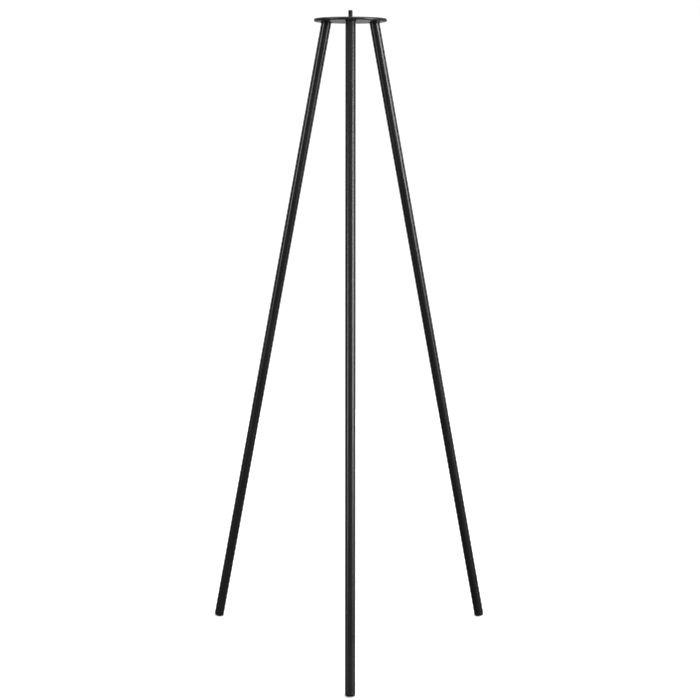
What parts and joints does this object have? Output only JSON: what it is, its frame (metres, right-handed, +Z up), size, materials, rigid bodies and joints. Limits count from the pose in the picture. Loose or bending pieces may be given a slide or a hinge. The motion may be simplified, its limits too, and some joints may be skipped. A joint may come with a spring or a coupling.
{
  "type": "tripod hunting stand",
  "caption": "Tall take-down tripod with a round steel head plate, an upright centre bolt, and splayed tubular legs whose sections push together.",
  "frame": {"origin": "on the ground, straight below the head plate's centre; the rounded feet touch this level", "axes": "+Z up through the head's centre, the bolt's way out of the plate; the front leg leans towards -Y, the others towards +X+Y and -X+Y"},
  "size_m": [0.6762, 0.5886, 1.484],
  "materials": {
    "black_powder_coat": "satin black powder coat on steel",
    "black_bolt": "painted steel thread, satin black",
    "painted_weld": "weld bead under satin black paint",
    "black_plastic": "moulded black polyethylene, matt"
  },
  "bodies": {
    "head": {"head_plate": "black_powder_coat", "center_bolt": "black_bolt", "bolt_weld": "painted_weld", "front_spigot": "black_powder_coat", "front_spigot_weld": "painted_weld", "right_spigot": "black_powder_coat", "right_spigot_weld": "painted_weld", "left_spigot": "black_powder_coat", "left_spigot_weld": "painted_weld"},
    "front_upper": {"front_upper_tube": "black_powder_coat"},
    "front_middle": {"front_middle_tube": "black_powder_coat"},
    "front_lower": {"front_lower_tube": "black_powder_coat", "front_foot_plug": "black_plastic"},
    "right_upper": {"right_upper_tube": "black_powder_coat"},
    "right_middle": {"right_middle_tube": "black_powder_coat"},
    "right_lower": {"right_lower_tube": "black_powder_coat", "right_foot_plug": "black_plastic"},
    "left_upper": {"left_upper_tube": "black_powder_coat"},
    "left_middle": {"left_middle_tube": "black_powder_coat"},
    "left_lower": {"left_lower_tube": "black_powder_coat", "left_foot_plug": "black_plastic"}
  },
  "joints": [
    {"name": "front_upper_slide", "type": "slide", "parent": "head", "child": "front_upper", "axis": [0, -0.2113, -0.9774], "range_m": [0, 0.055]},
    {"name": "front_middle_slide", "type": "slide", "parent": "front_upper", "child": "front_middle", "axis": [0, -0.2113, -0.9774], "range_m": [0, 0.06]},
    {"name": "front_lower_slide", "type": "slide", "parent": "front_middle", "child": "front_lower", "axis": [0, -0.2113, -0.9774], "range_m": [0, 0.06]},
    {"name": "right_upper_slide", "type": "slide", "parent": "head", "child": "right_upper", "axis": [0.183, 0.1057, -0.9774], "range_m": [0, 0.055]},
    {"name": "right_middle_slide", "type": "slide", "parent": "right_upper", "child": "right_middle", "axis": [0.183, 0.1057, -0.9774], "range_m": [0, 0.06]},
    {"name": "right_lower_slide", "type": "slide", "parent": "right_middle", "child": "right_lower", "axis": [0.183, 0.1057, -0.9774], "range_m": [0, 0.06]},
    {"name": "left_upper_slide", "type": "slide", "parent": "head", "child": "left_upper", "axis": [-0.183, 0.1057, -0.9774], "range_m": [0, 0.055]},
    {"name": "left_middle_slide", "type": "slide", "parent": "left_upper", "child": "left_middle", "axis": [-0.183, 0.1057, -0.9774], "range_m": [0, 0.06]},
    {"name": "left_lower_slide", "type": "slide", "parent": "left_middle", "child": "left_lower", "axis": [-0.183, 0.1057, -0.9774], "range_m": [0, 0.06]}
  ]
}
